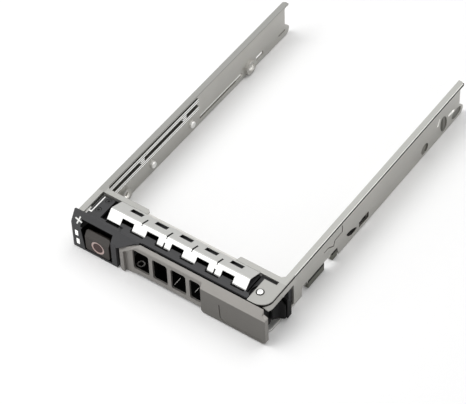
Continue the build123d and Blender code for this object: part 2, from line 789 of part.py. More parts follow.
# Light pipe: one clear moulding from the rail to the two windows
with BuildPart() as light_pipe:
    for (bottom, top), (led_x, led_z), drop_front in zip((upper_bar, lower_bar), led_places, drop_fronts):
        led_bottom = led_z - led_height / 2
        led_top = led_z + led_height / 2
        led_left = led_x - led_width / 2
        # bar along the rail, its drop behind the front and the arm that runs forward below
        with BuildSketch(Plane.YZ.offset(pipe_left)) as bar:
            with BuildLine():
                Polyline(
                    (foot_front, led_bottom),
                    (drop_front + drop_depth, led_bottom),
                    (drop_front + drop_depth, bottom),
                    (crease_y + pipe_reach, bottom),
                    (crease_y + pipe_reach, top),
                    (drop_front, top),
                    (drop_front, led_top),
                    (foot_front, led_top),
                    close=True,
                )
            make_face()
            fillet(bar.vertices().group_by(Axis.Y)[-1], 0.4)
        extrude(amount=bar_thickness)
        # foot that crosses to the window and the block that shows in it
        with BuildSketch(Plane.XZ.offset(-foot_front)) as foot:
            with Locations(((led_left + pipe_right) / 2, led_z)):
                Rectangle(pipe_right - led_left, led_top - led_bottom)
        extrude(amount=-1)
        with BuildSketch(Plane.XZ.offset(-foot_front)) as light:
            with Locations((led_x, led_z)):
                Rectangle(led_width, led_height)
        extrude(amount=foot_front - front_y - 0.1)
    # strand in the deck, joined to the upper bar at its front end
    with BuildSketch(Plane.XY.offset(deck_z - strand_depth)) as strand:
        with Locations((strand_x, (strand_y[0] + strand_y[1]) / 2)):
            Rectangle(strand_width, strand_y[1] - strand_y[0])
        with Locations(((pipe_right - 0.1 + strand_x) / 2, strand_y[0] + 0.3)):
            Rectangle(strand_x - pipe_right + 0.1, 0.6)
    extrude(amount=upper_bar[1] - deck_z + strand_depth)
    # ties between the bars, each with a peg through the web
    with BuildSketch(Plane.YZ.offset(pipe_left)) as ties:
        with Locations(*[(crease_y + y, (lower_bar[1] + upper_bar[0]) / 2) for y in peg_places]):
            Rectangle(2.0, upper_bar[0] - lower_bar[1] + 0.4)
    extrude(amount=bar_thickness)
    with BuildSketch(Plane.YZ.offset(pipe_left + 0.3)) as pegs:
        with Locations(*[(crease_y + y, peg_z) for y in peg_places]):
            Circle(peg_radius)
    extrude(amount=-sheet - 0.4)

finish(light_pipe, "light_pipe")

# Release button with its stem, wedge and stop
button_x = from_left(button_left)
cap_top = button_bottom + button_height
wedge_tip = partition_back + wedge_reach

with BuildPart() as release_button:
    with BuildSketch(Plane.YZ.offset(button_x)) as cap:
        with BuildLine():
            Polyline(
                (cap_front, button_bottom),
                (cap_front, cap_bend_z),
                (cap_back - 0.4, cap_top),
                (cap_back, cap_top),
                (cap_back, button_bottom),
                close=True,
            )
        make_face()
    extrude(amount=button_width)
    fillet(release_button.edges().filter_by(Axis.Y), 0.8)
    # Shallow ring in the face
    with BuildSketch(Plane.XZ.offset(-cap_front)) as button_ring:
        with Locations((from_left(ring_place[0]), ring_place[1])):
            Circle(ring_radius)
            Circle(ring_radius - ring_width, mode=Mode.SUBTRACT)
    extrude(amount=-0.15, mode=Mode.SUBTRACT)
    # Stem whose left face is the wedge
    with BuildSketch(Plane.XY.offset(stem_z - stem_height / 2)) as stem:
        with BuildLine():
            Polyline(
                (stem_left, cap_back - 0.2),
                (stem_left, partition_front + 0.4),
                (wedge_face(wedge_tip), wedge_tip),
                (stem_right, wedge_tip),
                (stem_right, partition_back + 0.8),
                (stem_right + stop_width, partition_back + 0.8),
                (stem_right + stop_width, partition_back + 0.05),
                (stem_right, partition_back + 0.05),
                (stem_right, cap_back - 0.2),
                close=True,
            )
        make_face()
    extrude(amount=stem_height)
    # Bore of the return spring
    with BuildSketch(Plane.XZ.offset(-wedge_tip)) as return_bore:
        with Locations((spring_x, stem_z)):
            Circle(spring_bore)
    extrude(amount=wedge_tip - bore_bottom, mode=Mode.SUBTRACT)

finish(release_button, "release_button")

# Latch slider with the window that the wedge drives and the nose that holds the handle
with BuildPart() as latch_slider:
    with BuildSketch(Plane.XY.offset(slider_bottom)) as slider_body:
        with Locations(((slider_left + slider_right) / 2, (slider_front + slider_back) / 2)):
            Rectangle(slider_right - slider_left, slider_back - slider_front)
    extrude(amount=slider_top - slider_bottom)
    with BuildSketch(Plane.XY.offset(stem_z - stem_height / 2 - 0.2)) as drive_window:
        with BuildLine():
            Polyline(
                (wedge_face(slider_front - 0.1) - wedge_gap, slider_front - 0.1),
                (wedge_face(slider_back + 0.1) - wedge_gap, slider_back + 0.1),
                (window_right, slider_back + 0.1),
                (window_right, slider_front - 0.1),
                close=True,
            )
        make_face()
    extrude(amount=stem_height + 0.4, mode=Mode.SUBTRACT)
    with BuildSketch(Plane.XY.offset(stem_z - nose_height / 2)) as nose:
        with Locations(((slider_right - 0.3 + nose_tip) / 2, slider_front + nose_thickness / 2)):
            Rectangle(nose_tip - slider_right + 0.3, nose_thickness)
    extrude(amount=nose_height)
    nose_edge = latch_slider.edges().filter_by(Axis.Z).group_by(Axis.X)[-1].sort_by(Axis.Y)[0]
    chamfer(nose_edge, 0.5)
    with BuildSketch(Plane.YZ.offset(slider_left)) as latch_bore:
        with Locations(((slider_front + slider_back) / 2, latch_spring_z)):
            Circle(spring_bore)
    extrude(amount=latch_bore_end - slider_left, mode=Mode.SUBTRACT)

finish(latch_slider, "latch_slider")

# Rear guide that closes the latch's channel, held by two screws through the deck
with BuildPart() as latch_retainer:
    with BuildSketch(Plane.YZ.offset(pocket_left + 0.1)) as retainer_profile:
        with BuildLine():
            Polyline(
                (retainer_front + 0.1, slider_top + slide_gap),
                (retainer_front + 0.1, deck_z - bezel_wall - 0.05),
                (bezel_back - 0.2, deck_z - bezel_wall - 0.05),
                (bezel_back - 0.2, slider_top + slide_gap),
                (slider_back + slide_gap + 1.2, slider_top + slide_gap),
                (slider_back + slide_gap + 1.2, slider_bottom),
                (slider_back + slide_gap, slider_bottom),
                (slider_back + slide_gap, slider_top + slide_gap),
                close=True,
            )
        make_face()
    extrude(amount=pocket_right - pocket_left - 0.2)
    with BuildSketch(Plane.XY.offset(slider_top)) as retainer_holes:
        with Locations(*deck_screws):
            Circle(deck_screw_radius)
    extrude(amount=deck_z - slider_top, mode=Mode.SUBTRACT)

finish(latch_retainer, "latch_retainer")

# Two screws that hold the rear guide
with BuildPart() as bezel_screws:
    with BuildSketch(Plane.XY.offset(deck_z - deck_head_height)) as screw_heads:
        with Locations(*deck_screws):
            Circle(deck_head_radius)
    extrude(amount=deck_head_height - 0.1)
    with BuildSketch(Plane.XY.offset(slider_top + slide_gap + 0.3)) as screw_shanks:
        with Locations(*deck_screws):
            Circle(deck_screw_radius - 0.02)
    extrude(amount=deck_z - deck_head_height - slider_top - slide_gap - 0.2)

finish(bezel_screws, "bezel_screws")

# Return springs of the button and the latch
with BuildPart() as button_spring:
    with BuildLine():
        button_coil = Helix(
            pitch=spring_pitch,
            height=slider_back + slide_gap - 0.05 - wire - spring_front,
            radius=spring_bore - 0.15 - wire / 2,
            center=(spring_x, spring_front + wire / 2, stem_z),
            direction=(0, 1, 0),
        )
    with BuildSketch(Plane(origin=button_coil @ 0, z_dir=button_coil % 0)):
        RegularPolygon(wire / 2, wire_sides)
    sweep(path=button_coil, is_frenet=True)

finish(button_spring, "button_spring")

with BuildPart() as latch_spring:
    with BuildLine():
        latch_coil = Helix(
            pitch=spring_pitch,
            height=latch_bore_end - latch_stroke - 0.2 - wire - pocket_left,
            radius=spring_bore - 0.15 - wire / 2,
            center=(pocket_left + 0.05 + wire / 2, (slider_front + slider_back) / 2, latch_spring_z),
            direction=(1, 0, 0),
        )
    with BuildSketch(Plane(origin=latch_coil @ 0, z_dir=latch_coil % 0)):
        RegularPolygon(wire / 2, wire_sides)
    sweep(path=latch_coil, is_frenet=True)

finish(latch_spring, "latch_spring")

# Handle cover: the grey front with four windows
handle_right = side_x + front_overhang
handle_back = front_y + handle_thickness
rib_x = block_right + 0.75
field_left = handle_x + 2.7
field_right = from_left(window_starts[-1] + window_widths[-1]) + 0.8
field_top = top_z - 1.5

with BuildPart() as handle_cover:
    with BuildSketch(Plane.XZ.offset(-front_y)) as cover_outline:
        with BuildLine():
            Polyline(
                (handle_x, 0.5),
                (handle_x, shoulder_z),
                (shoulder_x, top_z),
                (handle_right - 1.6, top_z),
                (handle_right - 1.6, 13.4),
                (handle_right, 12.6),
                (handle_right, 1.2),
                (handle_right - 1.2, 0.3),
                (field_right + 0.4, 0.3),
                (field_right, 0.93),
                (from_left(26.4), 0.93),
                (from_left(23.5), 0.0),
                (from_left(20.4), 0.0),
                close=True,
            )
        make_face()
    extrude(amount=-handle_thickness)
    # Bevels of the left end and its slanted shoulder
    left_end = handle_cover.edges().sort_by_distance((handle_x, front_y, shoulder_z / 2))[0]
    shoulder_edge = handle_cover.edges().sort_by_distance(
        ((handle_x + shoulder_x) / 2, front_y, (shoulder_z + top_z) / 2))[0]
    chamfer((left_end, shoulder_edge), handle_end_bevel)
    # Bevel along the top
    with BuildSketch(Plane.YZ.offset(handle_x)) as top_bevel:
        with BuildLine():
            Polyline(
                (front_y - 0.1, top_z - handle_bevel_drop),
                (front_y, top_z - handle_bevel_drop),
                (handle_back - 0.05, top_z),
                (handle_back - 0.05, top_z + 0.1),
                (front_y - 0.1, top_z + 0.1),
                close=True,
            )
        make_face()
    extrude(amount=handle_right - handle_x, mode=Mode.SUBTRACT)
    # Recessed field round the windows, open at the bottom and running up into the bevel
    with BuildSketch(Plane.XZ.offset(-front_y)) as field:
        with BuildLine():
            Polyline(
                (field_left, -0.1),
                (field_left, shoulder_z + 0.2),
                (shoulder_x - 1.2, field_top),
                (field_right, field_top),
                (field_right, -0.1),
                close=True,
            )
        make_face()
    extrude(amount=-handle_recess, mode=Mode.SUBTRACT)
    with BuildSketch(Plane.XZ.offset(-front_y)) as windows:
        for start, width in zip(window_starts, window_widths):
            with Locations((from_left(start + width / 2), window_bottom + window_height / 2)):
                RectangleRounded(width, window_height, 1.0)
    extrude(amount=-handle_thickness, mode=Mode.SUBTRACT)
    # J-shaped groove of the right panel
    with BuildSketch(Plane.XZ.offset(-front_y)) as groove:
        with BuildLine():
            Polyline(
                (side_x - 17.24, 8.5),
                (side_x - 16.94, 2.36),
                (side_x - 15.4, 1.1),
                (side_x, 1.1),
            )
            offset(amount=0.2, side=Side.BOTH)
        make_face()
    extrude(amount=-0.4, mode=Mode.SUBTRACT)
    # Catch rib at the left end, with the hole that the latch nose enters
    with BuildSketch(Plane.YZ.offset(rib_x)) as catch_rib:
        with Locations(((handle_back - 0.2 + catch_back) / 2, stem_z)):
            Rectangle(catch_back - handle_back + 0.2, nose_height + 3.0)
        with Locations((slider_front + nose_thickness / 2, stem_z)):
            Rectangle(nose_thickness + 0.4, nose_height + 0.5, mode=Mode.SUBTRACT)
    extrude(amount=catch_thickness)
    # Blind bores for the lever's screws
    with BuildSketch(Plane.XZ.offset(-handle_back)) as cover_bores:
        with Locations(*lever_screws):
            Circle(lever_screw_radius)
    extrude(amount=lever_screw_bite, mode=Mode.SUBTRACT)

finish(handle_cover, "handle_cover")

# Handle lever: the dark pivoting arm with its hub and the claw that pulls the carrier in
with BuildPart() as handle_lever:
    with BuildSketch(Plane.XY.offset(claw_bottom)) as arm:
        with BuildLine():
            Polyline(
                (lever_end, handle_back + 0.05),
                (pin_x + hub_radius - 0.1, handle_back + 0.05),
                (pin_x + hub_radius - 0.1, pin_y),
                (pin_x + 3.7, crease_y - 0.5),
                (handle_right, crease_y - 1.33),
                (handle_right, crease_y + 1.03),
                (side_x - 0.1, crease_y + 1.2),
                (pin_x + 1.6, crease_y - 0.7),
                (pin_x - hub_radius + 0.2, pin_y),
                (pin_x - hub_radius - 1.8, handle_back + 1.5),
                (lever_end, handle_back + 1.5),
                close=True,
            )
        make_face()
    extrude(amount=claw_top - claw_bottom)
    # Tooth of the claw, lower than the arm and sloped down to its rear
    with BuildSketch(Plane.XY.offset(tooth_bottom)) as tooth:
        with BuildLine():
            Polyline(
                (pin_x + 4.2, crease_y - 0.6),
                (handle_right, crease_y - 1.33),
                (handle_right, crease_y + 1.03),
                (side_x - 0.1, crease_y + 1.2),
                (pin_x + 4.2, crease_y + 0.4),
                close=True,
            )
        make_face()
    extrude(amount=claw_bottom - tooth_bottom + 0.5)
    with BuildSketch(Plane.YZ.offset(side_x - 1.6)) as tooth_slope:
        with BuildLine():
            Polyline(
                (crease_y - 0.9, claw_top + 0.1),
                (crease_y - 0.3, claw_top - 0.9),
                (crease_y + 1.4, 5.4),
                (crease_y + 1.4, claw_top + 0.1),
                close=True,
            )
        make_face()
    extrude(amount=handle_right - side_x + 1.7, mode=Mode.SUBTRACT)
    with BuildSketch(Plane.XY.offset(hub_bottom)) as hub:
        with Locations((pin_x, pin_y)):
            Circle(hub_radius)
    extrude(amount=hub_top - hub_bottom)
    # Neck that the torsion spring sits on
    with BuildSketch(Plane.XY.offset(claw_top)) as neck:
        with Locations((pin_x, pin_y)):
            Circle(hub_radius + 0.1)
            Circle(neck_radius, mode=Mode.SUBTRACT)
    extrude(amount=hub_top - claw_top - 0.8, mode=Mode.SUBTRACT)
    with BuildSketch(Plane.XY) as hub_bore:
        with Locations((pin_x, pin_y)):
            Circle(pin_radius + running_gap)
    extrude(amount=top_z, mode=Mode.SUBTRACT)
    with BuildSketch(Plane.XZ.offset(-handle_back - 1.6)) as lever_holes:
        with Locations(*lever_screws):
            Circle(lever_screw_radius + 0.1)
    extrude(amount=1.7, mode=Mode.SUBTRACT)

finish(handle_lever, "handle_lever")

# Screws between cover and lever
with BuildPart() as handle_screws:
    with BuildSketch(Plane.XZ.offset(-handle_back - 1.5)) as lever_heads:
        with Locations(*lever_screws):
            Circle(lever_screw_radius * 1.8)
    extrude(amount=-0.9)
    with BuildSketch(Plane.XZ.offset(-handle_back - 1.6)) as lever_shanks:
        with Locations(*lever_screws):
            Circle(lever_screw_radius - 0.02)
    extrude(amount=1.6 + lever_screw_bite - 0.1)

finish(handle_screws, "handle_screws")

# Hinge pin with its domed head, washer and retaining ring
with BuildPart() as hinge_pin:
    with BuildSketch(Plane.XZ.offset(-pin_y)) as pin_section:
        with BuildLine():
            Polyline(
                (pin_x, 0.1),
                (pin_x + pin_radius, 0.1),
                (pin_x + pin_radius, clip_bottom - 0.02),
                (pin_x + groove_radius, clip_bottom - 0.02),
                (pin_x + groove_radius, clip_bottom + clip_thickness + 0.02),
                (pin_x + pin_radius, clip_bottom + clip_thickness + 0.02),
                (pin_x + pin_radius, top_z - pin_head_sink),
                (pin_x + pin_head_radius, top_z - pin_head_sink),
                (pin_x + pin_head_radius, top_z + pin_head_rise),
                (pin_x, top_z + pin_head_rise),
                close=True,
            )
        make_face()
    revolve(axis=Axis((pin_x, pin_y, 0), (0, 0, 1)))
    fillet(hinge_pin.edges().group_by(Axis.Z)[-1], pin_head_rise * 0.85)

finish(hinge_pin, "hinge_pin")

with BuildPart() as hinge_washer:
    with BuildSketch(Plane.XY.offset(hub_top + 0.05)) as washer:
        with Locations((pin_x, pin_y)):
            Circle(neck_radius + 0.4)
            Circle(pin_radius + running_gap, mode=Mode.SUBTRACT)
    extrude(amount=washer_thickness)

finish(hinge_washer, "hinge_washer")

with BuildPart() as hinge_clip:
    with BuildSketch(Plane.XY.offset(clip_bottom)) as ring:
        with Locations((pin_x, pin_y)):
            Circle(1.7)
            Circle(groove_radius + 0.02, mode=Mode.SUBTRACT)
        with Locations((pin_x, pin_y - 1.2)):
            Rectangle(groove_radius * 1.8, 2.4, mode=Mode.SUBTRACT)
    extrude(amount=clip_thickness)

finish(hinge_clip, "hinge_clip")

# Torsion spring round the hub's neck
with BuildPart() as handle_spring:
    with BuildLine():
        torsion_coil = Helix(
            pitch=torsion_pitch,
            height=torsion_pitch * 3,
            radius=neck_radius + 0.15 + torsion_wire / 2,
            center=(pin_x, pin_y, claw_top + 0.1 + torsion_wire / 2),
        )
    with BuildSketch(Plane(origin=torsion_coil @ 0, z_dir=torsion_coil % 0)):
        RegularPolygon(torsion_wire / 2, wire_sides)
    sweep(path=torsion_coil, is_frenet=True)

finish(handle_spring, "handle_spring")

pieces = (
    frame, bezel, emi_shield, light_pipe, release_button, latch_slider, latch_retainer, bezel_screws,
    button_spring, latch_spring, handle_cover, handle_lever, handle_screws, hinge_pin, hinge_washer,
    hinge_clip, handle_spring,
)
for piece in pieces:
    size = piece.part.bounding_box()
    print(piece.part.label, len(piece.part.solids()), round(piece.part.volume, 1), size)
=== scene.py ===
import math

import bmesh
import bpy
from mathutils import Matrix, Vector


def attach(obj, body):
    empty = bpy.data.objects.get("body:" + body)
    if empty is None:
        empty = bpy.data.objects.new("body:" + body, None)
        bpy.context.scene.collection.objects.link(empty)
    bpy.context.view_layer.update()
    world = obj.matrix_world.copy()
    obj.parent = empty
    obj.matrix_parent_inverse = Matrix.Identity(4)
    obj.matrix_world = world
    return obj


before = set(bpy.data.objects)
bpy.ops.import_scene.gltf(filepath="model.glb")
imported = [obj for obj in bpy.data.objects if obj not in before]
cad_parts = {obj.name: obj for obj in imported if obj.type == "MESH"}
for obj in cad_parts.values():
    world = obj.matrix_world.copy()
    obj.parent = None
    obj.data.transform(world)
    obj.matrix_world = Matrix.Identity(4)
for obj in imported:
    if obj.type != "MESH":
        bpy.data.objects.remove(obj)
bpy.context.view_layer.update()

MM = 0.001

# Camera: its place in millimetres, and which way its back and its top face
eye = Vector((300.47, -423.73, 562.77))
camera_back = Vector((0.40349, -0.53505, 0.74224))
camera_up = Vector((-0.41044, 0.61917, 0.66946))
camera_lens = 167.05
sensor_width = 36.0

# Lamps: place and width in metres, and power
lamps = {
    "key_lamp": ((-0.35, -0.25, 0.75), 0.5, 3.3),
    "top_lamp": ((0.1, 0.4, 0.9), 0.7, 2.8),
    "fill_lamp": ((0.7, -0.6, 0.35), 0.6, 0.5),
    "front_lamp": ((-0.4, -0.9, 0.14), 0.5, 1.7),
}

# Grey that lights the carrier, and the floor: its tone to the camera and to the light, its width and its height
world_grey = 0.42
floor_seen = 1.0
floor_bounce = 0.78
floor_width = 4.0
floor_z = -0.2

# Carrier in millimetres, from side to side
side_x = 39.0
web_out = 38.4
web_in = 37.6
right_rail_x = 35.0
left_rail_x = -30.0
left_flange_x = -36.2
hinge_plate_x = 28.0
pin_x = 33.46
shield_left_x = -28.6
shoulder_x = -12.6
window_left_x = -18.5
floor_plate_x = 20.0

# From front to back
front_y = -64.5
handle_back_y = -62.3
brow_back_y = -59.3
pin_y = -57.08
crest_y = -55.95
crease_y = -50.1
claw_window_y = -44.8
rear_seats_y = 30.0
rail_end_y = 63.0

# From the bottom up
web_low_z = 0.9
hinge_plate_top_z = 1.0
tab_z = 4.2
slope_bottom = 11.1
lip_z = 14.1
top_sheet_z = 15.4
brow_z = 15.6
seam_z = (14.5, 15.46)

# Bezel's slope with its mark, and the deck's screws with the radius of the painted shade in their sockets
slope_height = 4.7
slope_depth = 2.9
mark_x = -37.45
mark_up_slope = 2.3
mark_turn = -13
deck_screws = ((-33.9, -56.7), (-33.2, -51.8))
socket_shade = 0.5

# Button's ring
ring_x = -29.4
ring_z = 4.4
ring_outer = 2.72
ring_inner = 2.0

# Spring fingers of the shield, and the slits between them behind and before the crest
finger_count = 6
finger_pitch = 10.355
first_finger_x = -25.81
finger_half = 2.7
slit_half = 0.32
slit_length = 3.25
front_slit_half = 0.3
front_slit_y = crest_y - 0.7
front_slit_z = 16.3

# Light pipe: where its bars start, and the painted shade lines along them
bars_y = -57.0
bars_z = 8.0
bars_x = -36.3
shade_line_pitch = 0.95
shade_line_start = 8.72
shade_line_share = 0.3

# Right rail: the bent tabs from front to back, and low and high Y and Z of the painted shade and highlights in its
# web
bent_tabs = ((-36.25, -26.35), (-21.45, -18.45))
seat_shadows = (((49.6, 1.5), (51.0, 8.0)), ((57.6, 5.4), (61.6, 7.1)))
rear_slits = (((46.0, 6.3), (48.62, 10.3)), ((53.9, 5.0), (58.4, 7.1)))
ramp = ((-4.8, 1.2), (2.2, 4.2))

# Left rail: the dimples in its web, which get painted highlights
dimple_y = (-21.95, 1.7)
dimple_z = 4.0
dimple_radius = 1.35

# Gaps in the front block that are in deep shade, by their low and high corners
under_shield = ((-31, brow_back_y + 0.1, 13.2), (31, crease_y, 14.55))
round_button = ((-36.3, front_y + 0.15, 0.6), (-23.2, -60.5, 13.75))
behind_handle = ((shoulder_x, handle_back_y - 0.05, 13.0), (40.0, handle_back_y + 0.6, brow_z + 0.1))
behind_windows = ((window_left_x, handle_back_y, 0.6), (hinge_plate_x, crease_y, 13.0))
beside_shield = ((shield_left_x - 2.6, brow_back_y, 13.2), (shield_left_x, crease_y, 14.75))
beside_hinge_plate = ((28.9, handle_back_y, 12.0), (36.6, -49.0, 15.0))

# Painted glints on the floor behind the handle's windows: the bright lines' places and fronts, and the bright ring's
# place and radii
floor_top_z = 2.0
floor_glints = ((0.38, -60.8), (8.08, -59.5))
glint_half = 0.14
glint_end_y = -57.2
glint_ring_place = (-14.6, -59.5, 0)
glint_ring_radii = (0.95, 1.4)

# How far a tint keeps clear of a sheet's face or reaches over it
cut_margin = 0.06
hair = 0.02

# Tones that several places share, all painted light and shade: a painted highlight, lit edges, shade in the webs' cut
# edges, lighter shade in their rear part, and deep shade in folds, slits and gaps
painted_highlight = (0.95, 0.945, 0.92)
lit_edge = (0.8, 0.796, 0.77)
web_shade = (0.12, 0.115, 0.1)
rear_web_shade = (0.26, 0.255, 0.235)
deep_shade = (0.022, 0.02, 0.016)
slit_shade = (0.012, 0.012, 0.012)
gap_black = (0.004, 0.004, 0.004)

# Axes that a ring is measured across, and an open side of a box
seen_from_above = (1, 1, 0)
seen_from_front = (1, 0, 1)
seen_from_side = (0, 1, 1)
open_side = (None, None, None)


# Nodes

def feed(tree, value, socket):
    """Links a socket to another one, or sets it to a plain value."""
    if isinstance(value, bpy.types.NodeSocket):
        tree.links.new(value, socket)
    else:
        socket.default_value = value


def math_node(tree, operation, first, second):
    step = tree.nodes.new("ShaderNodeMath")
    step.operation = operation
    feed(tree, first, step.inputs[0])
    feed(tree, second, step.inputs[1])
    return step.outputs[0]


def vector_node(tree, operation, first, second):
    step = tree.nodes.new("ShaderNodeVectorMath")
    step.operation = operation
    feed(tree, first, step.inputs[0])
    feed(tree, second, step.inputs[1])
    return step.outputs[0]


def split_axes(tree, vector):
    split = tree.nodes.new("ShaderNodeSeparateXYZ")
    tree.links.new(vector, split.inputs[0])
    return split.outputs


def mix_colours(tree, factor, first, second):
    """The first colour where the factor is 0 and the second where it is 1."""
    mix = tree.nodes.new("ShaderNodeMix")
    mix.data_type = "RGBA"
    feed(tree, factor, mix.inputs["Factor"])
    feed(tree, first, mix.inputs["A"])
    feed(tree, second, mix.inputs["B"])
    return mix.outputs["Result"]


def grey(level):
    return (level, level, level, 1)


# Camera, light and floor

def place_camera():
    data = bpy.data.cameras.new("camera")
    data.lens = camera_lens
    data.sensor_width = sensor_width
    data.clip_end = 5.0
    camera = bpy.data.objects.new("camera", data)
    bpy.context.collection.objects.link(camera)
    back = camera_back.normalized()
    right = camera_up.cross(back).normalized()
    up = back.cross(right)
    turn = Matrix((right, up, back)).transposed().to_4x4()
    camera.matrix_world = Matrix.Translation(eye * MM) @ turn
    bpy.context.scene.camera = camera


def add_lamp(name, place, width, power):
    """A square lamp that looks at the middle of the carrier."""
    data = bpy.data.lights.new(name, "AREA")
    data.shape = "SQUARE"
    data.size = width
    data.energy = power
    lamp = bpy.data.objects.new(name, data)
    bpy.context.collection.objects.link(lamp)
    lamp.location = place
    lamp.rotation_euler = (-Vector(place)).to_track_quat("-Z", "Y").to_euler()


def light_studio():
    """The lamps, and a grey world that is white to the camera and in reflections."""
    for name, (place, width, power) in lamps.items():
        add_lamp(name, place, width, power)
    world = bpy.data.worlds.new("studio")
    bpy.context.scene.world = world
    world.use_nodes = True
    tree = world.node_tree
    tree.nodes.clear()
    rays = tree.nodes.new("ShaderNodeLightPath").outputs
    white = math_node(tree, "MAXIMUM", rays["Is Camera Ray"], rays["Is Glossy Ray"])
    white = math_node(tree, "MAXIMUM", white, rays["Is Transmission Ray"])
    sky = tree.nodes.new("ShaderNodeBackground")
    tree.links.new(mix_colours(tree, white, grey(world_grey), grey(1)), sky.inputs["Color"])
    out = tree.nodes.new("ShaderNodeOutputWorld")
    tree.links.new(sky.outputs["Background"], out.inputs["Surface"])
    bpy.context.scene.view_settings.view_transform = "Standard"


def lay_floor():
    bpy.ops.object.select_all(action="DESELECT")
    bpy.ops.mesh.primitive_plane_add(size=floor_width, location=(0, 0, floor_z * MM))
    floor = bpy.context.object
    floor.name = "floor"
    material = bpy.data.materials.new("pale_floor")
    material.use_nodes = True
    tree = material.node_tree
    shader = tree.nodes["Principled BSDF"]
    rays = tree.nodes.new("ShaderNodeLightPath").outputs
    tone = mix_colours(tree, rays["Is Camera Ray"], grey(floor_bounce), grey(floor_seen))
    tree.links.new(tone, shader.inputs["Base Color"])
    shader.inputs["Roughness"].default_value = 0.9
    shader.inputs["Specular IOR Level"].default_value = 0.1
    floor.data.materials.append(material)


# Shared effects as node groups

def new_group(name, inputs, outputs):
    """A node group with named sockets: a vector where the value is a tuple, otherwise a number."""
    group = bpy.data.node_groups.new(name, "ShaderNodeTree")
    for socket_name, value in inputs.items():
        kind = "NodeSocketVector" if isinstance(value, tuple) else "NodeSocketFloat"
        socket = group.interface.new_socket(name=socket_name, in_out="INPUT", socket_type=kind)
        socket.default_value = value
    for socket_name in outputs:
        group.interface.new_socket(name=socket_name, in_out="OUTPUT", socket_type="NodeSocketFloat")
    inside = group.nodes.new("NodeGroupInput")
    outside = group.nodes.new("NodeGroupOutput")
    place = group.nodes.new("ShaderNodeTexCoord")
    return group, inside.outputs, outside.inputs, place.outputs["Object"]


def add_noise(group, place, scale, detail):
    noise = group.nodes.new("ShaderNodeTexNoise")
    noise.inputs["Detail"].default_value = detail
    group.links.new(place, noise.inputs["Vector"])
    feed(group, scale, noise.inputs["Scale"])
    return noise.outputs["Fac"]


def make_grain_group():
    """Surface grain on Object coordinates: a fine height and soft patches."""
    group, inside, outside, place = new_group(
        "surface_grain", {"Scale": 1500.0, "Stretch": (1.0, 1.0, 1.0)}, ("Height", "Patches"))
    stretched = vector_node(group, "MULTIPLY", place, inside["Stretch"])
    group.links.new(add_noise(group, stretched, inside["Scale"], detail=3.0), outside["Height"])
    group.links.new(add_noise(group, place, scale=60.0, detail=4.0), outside["Patches"])
    return group


def make_box_group():
    """1 inside a box on Object coordinates, 0 outside."""
    group, inside, outside, place = new_group(
        "within_box", {"Low": (-1.0, -1.0, -1.0), "High": (1.0, 1.0, 1.0)}, ("Mask",))
    mask = 1.0
    for here, low, high in zip(*(split_axes(group, v) for v in (place, inside["Low"], inside["High"]))):
        above = math_node(group, "GREATER_THAN", here, low)
        below = math_node(group, "LESS_THAN", here, high)
        mask = math_node(group, "MULTIPLY", mask, math_node(group, "MULTIPLY", above, below))
    group.links.new(mask, outside["Mask"])
    return group


def make_ring_group():
    """1 between two radii round a place, measured along the axes that Across names."""
    group, inside, outside, place = new_group(
        "within_ring",
        {"Centre": (0.0, 0.0, 0.0), "Across": (1.0, 1.0, 0.0), "Inner": 0.0, "Outer": 0.001},
        ("Mask",))
    offset = vector_node(group, "SUBTRACT", place, inside["Centre"])
    across = vector_node(group, "MULTIPLY", offset, inside["Across"])
    length = group.nodes.new("ShaderNodeVectorMath")
    length.operation = "LENGTH"
    group.links.new(across, length.inputs[0])
    past = math_node(group, "GREATER_THAN", length.outputs["Value"], inside["Inner"])
    within = math_node(group, "LESS_THAN", length.outputs["Value"], inside["Outer"])
    group.links.new(math_node(group, "MULTIPLY", past, within), outside["Mask"])
    return group


def make_line_group():
    """Fine lines that repeat with the height, here the painted shade lines along the light pipe."""
    group, inside, outside, place = new_group(
        "height_lines", {"Pitch": 0.001, "Start": 0.0, "Share": 0.25}, ("Mask",))
    rise = math_node(group, "SUBTRACT", split_axes(group, place)["Z"], inside["Start"])
    turns = math_node(group, "DIVIDE", rise, inside["Pitch"])
    part = math_node(group, "FRACT", turns, 0.0)
    group.links.new(math_node(group, "LESS_THAN", part, inside["Share"]), outside["Mask"])
    return group


grain_group = make_grain_group()
box_group = make_box_group()
ring_group = make_ring_group()
line_group = make_line_group()


def use_group(material, group, **inputs):
    """Puts a shared effect in a finish, with its own values."""
    node = material.node_tree.nodes.new("ShaderNodeGroup")
    node.node_tree = group
    for name, value in inputs.items():
        node.inputs[name].default_value = value
    return node.outputs


def box_mask(material, low, high):
    """1 inside a box given in millimetres, with None for an open side."""
    low = [-1.0 if v is None else v * MM for v in low]
    high = [1.0 if v is None else v * MM for v in high]
    return use_group(material, box_group, Low=low, High=high)["Mask"]


def ring_mask(material, centre, inner, outer, across):
    """1 between two radii in millimetres."""
    centre = [v * MM for v in centre]
    return use_group(material, ring_group, Centre=centre, Across=across, Inner=inner * MM, Outer=outer * MM)["Mask"]


def line_mask(material, pitch, start, share):
    """1 on lines whose pitch and first height are in millimetres."""
    return use_group(material, line_group, Pitch=pitch * MM, Start=start * MM, Share=share)["Mask"]


def both(material, first, second):
    """1 where two masks are."""
    return math_node(material.node_tree, "MULTIPLY", first, second)


